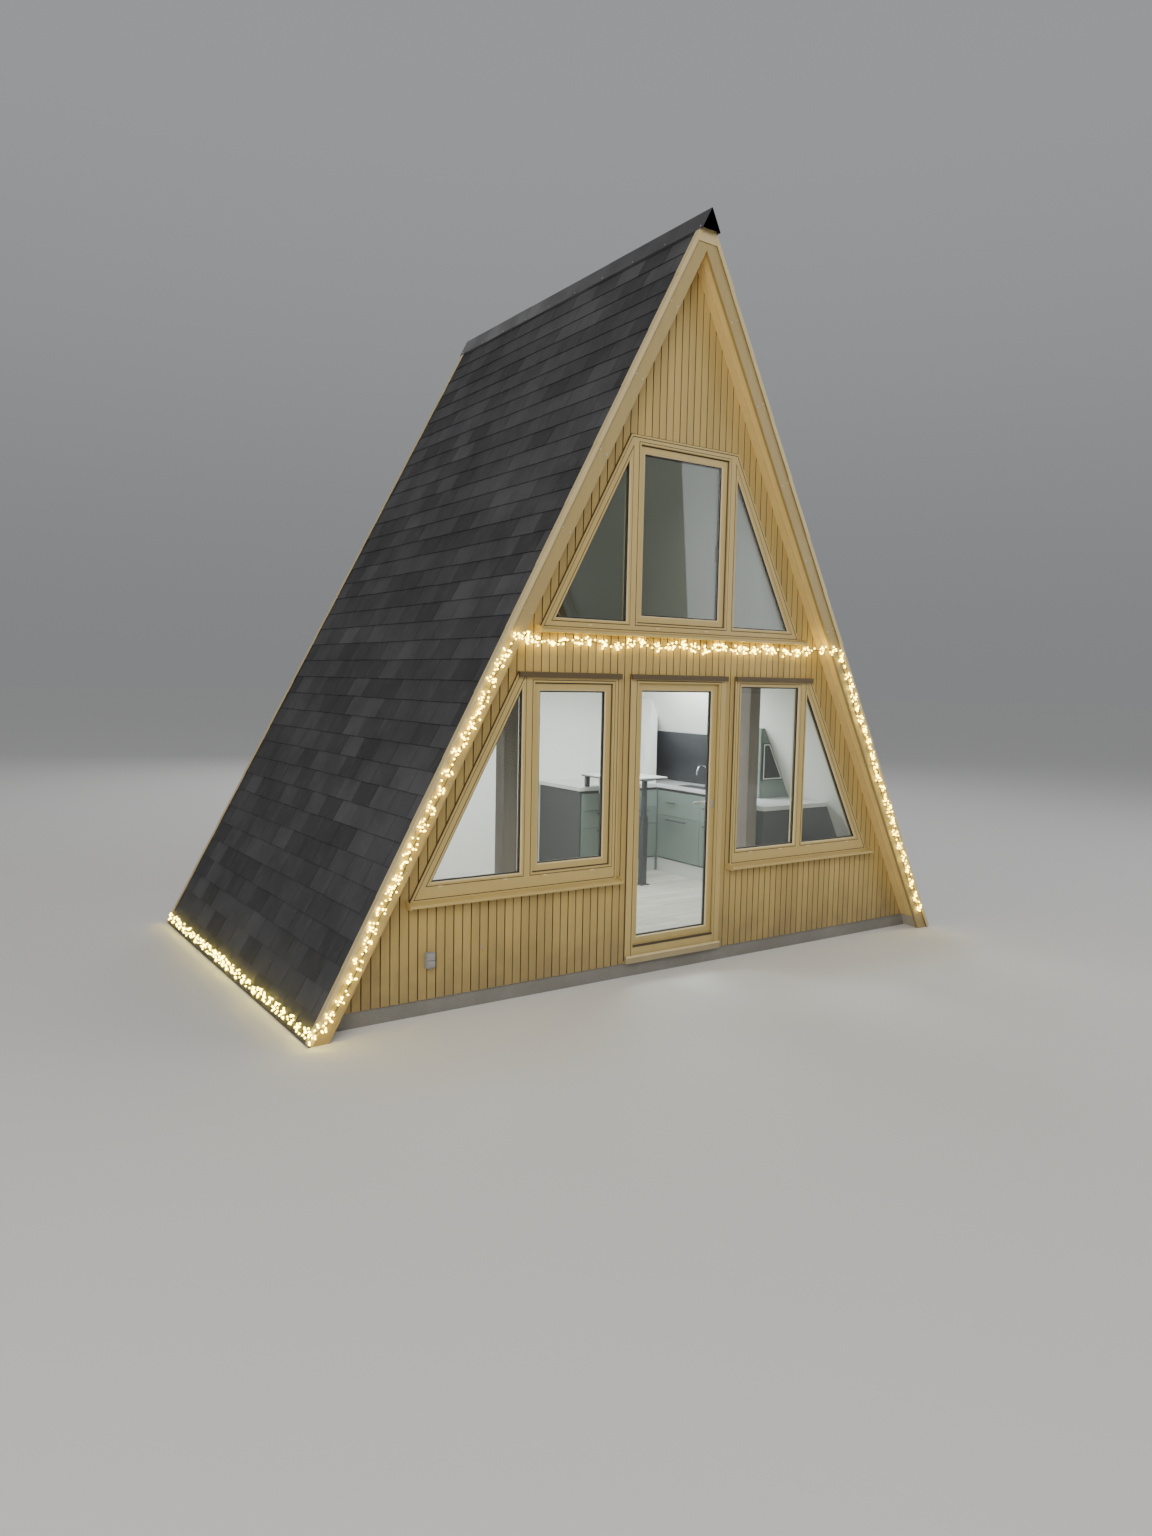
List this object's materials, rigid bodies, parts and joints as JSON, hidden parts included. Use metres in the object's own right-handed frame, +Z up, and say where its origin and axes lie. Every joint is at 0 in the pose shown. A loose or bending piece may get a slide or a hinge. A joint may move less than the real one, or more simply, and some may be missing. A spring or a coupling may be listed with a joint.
{
  "type": "a-frame cabin",
  "caption": "Steep A-frame timber cabin with slanted gable windows, a glazed front door that swings inwards, a loft and a fitted kitchen, hollow inside.",
  "frame": {"origin": "on the ground, in the middle of the footprint, under the ridge", "axes": "+X along the front gable to the right as seen from outside, +Y into the building from the front door to the back gable, +Z up"},
  "size_m": [5.984, 3.66, 5.6368],
  "materials": {
    "concrete": "matt",
    "floor_boards": "satin",
    "loft_boards": "satin",
    "post_timber": "satin",
    "roof_timber": "matt",
    "roofing": "matt",
    "ridge_metal": "satin",
    "trim_timber": "painted satin",
    "white_lining": "painted matt",
    "siding": "painted satin",
    "frame_finish": "painted satin",
    "window_glass": "polished",
    "drip_metal": "satin",
    "fittings": "brushed",
    "cupboard_front": "painted matt",
    "dark_panel": "matt",
    "worktop": "honed",
    "tap_chrome": "polished",
    "bar_finish": "satin",
    "socket_plastic": "matt",
    "string_plastic": "matt"
  },
  "bodies": {
    "cabin": {"base_slab": "concrete", "floor_deck": "floor_boards", "loft_floor": "loft_boards", "posts": "post_timber", "roof_left": "roof_timber", "roof_right": "roof_timber", "roofing_left": "roofing", "roofing_right": "roofing", "ridge_cap": "ridge_metal", "barge_front": "trim_timber", "barge_back": "trim_timber", "lining_left": "white_lining", "lining_right": "white_lining", "front_wall_left": "white_lining", "front_wall_right": "white_lining", "front_wall_gable": "white_lining", "back_wall": "white_lining", "siding_left": "siding", "siding_right": "siding", "siding_gable": "siding", "siding_back": "siding", "window_frame_left": "frame_finish", "window_frame_right": "frame_finish", "window_frame_upper": "frame_finish", "window_frame_back": "frame_finish", "sash_left": "frame_finish", "sash_upper": "frame_finish", "sash_back": "frame_finish", "glass_ground": "window_glass", "glass_upper": "window_glass", "glass_back": "window_glass", "window_sills": "frame_finish", "drip_strips": "drip_metal", "door_frame": "frame_finish", "door_threshold": "drip_metal", "door_hinges": "fittings", "kitchen_units": "cupboard_front", "kitchen_panels": "dark_panel", "worktop": "worktop", "kitchen_wall": "white_lining", "tall_cupboard": "cupboard_front", "splashback": "dark_panel", "tap": "tap_chrome", "bar_table": "bar_finish", "socket_box": "socket_plastic", "light_string": "string_plastic"},
    "door": {"leaf_hinges": "fittings", "door_leaf": "frame_finish", "door_glass": "window_glass", "door_handle": "fittings"}
  },
  "joints": [
    {"name": "door_hinge", "type": "hinge", "parent": "cabin", "child": "door", "pos_m": [-0.423, -1.547, 1.2], "axis": [0, 0, 1], "range_deg": [0, 100]}
  ]
}
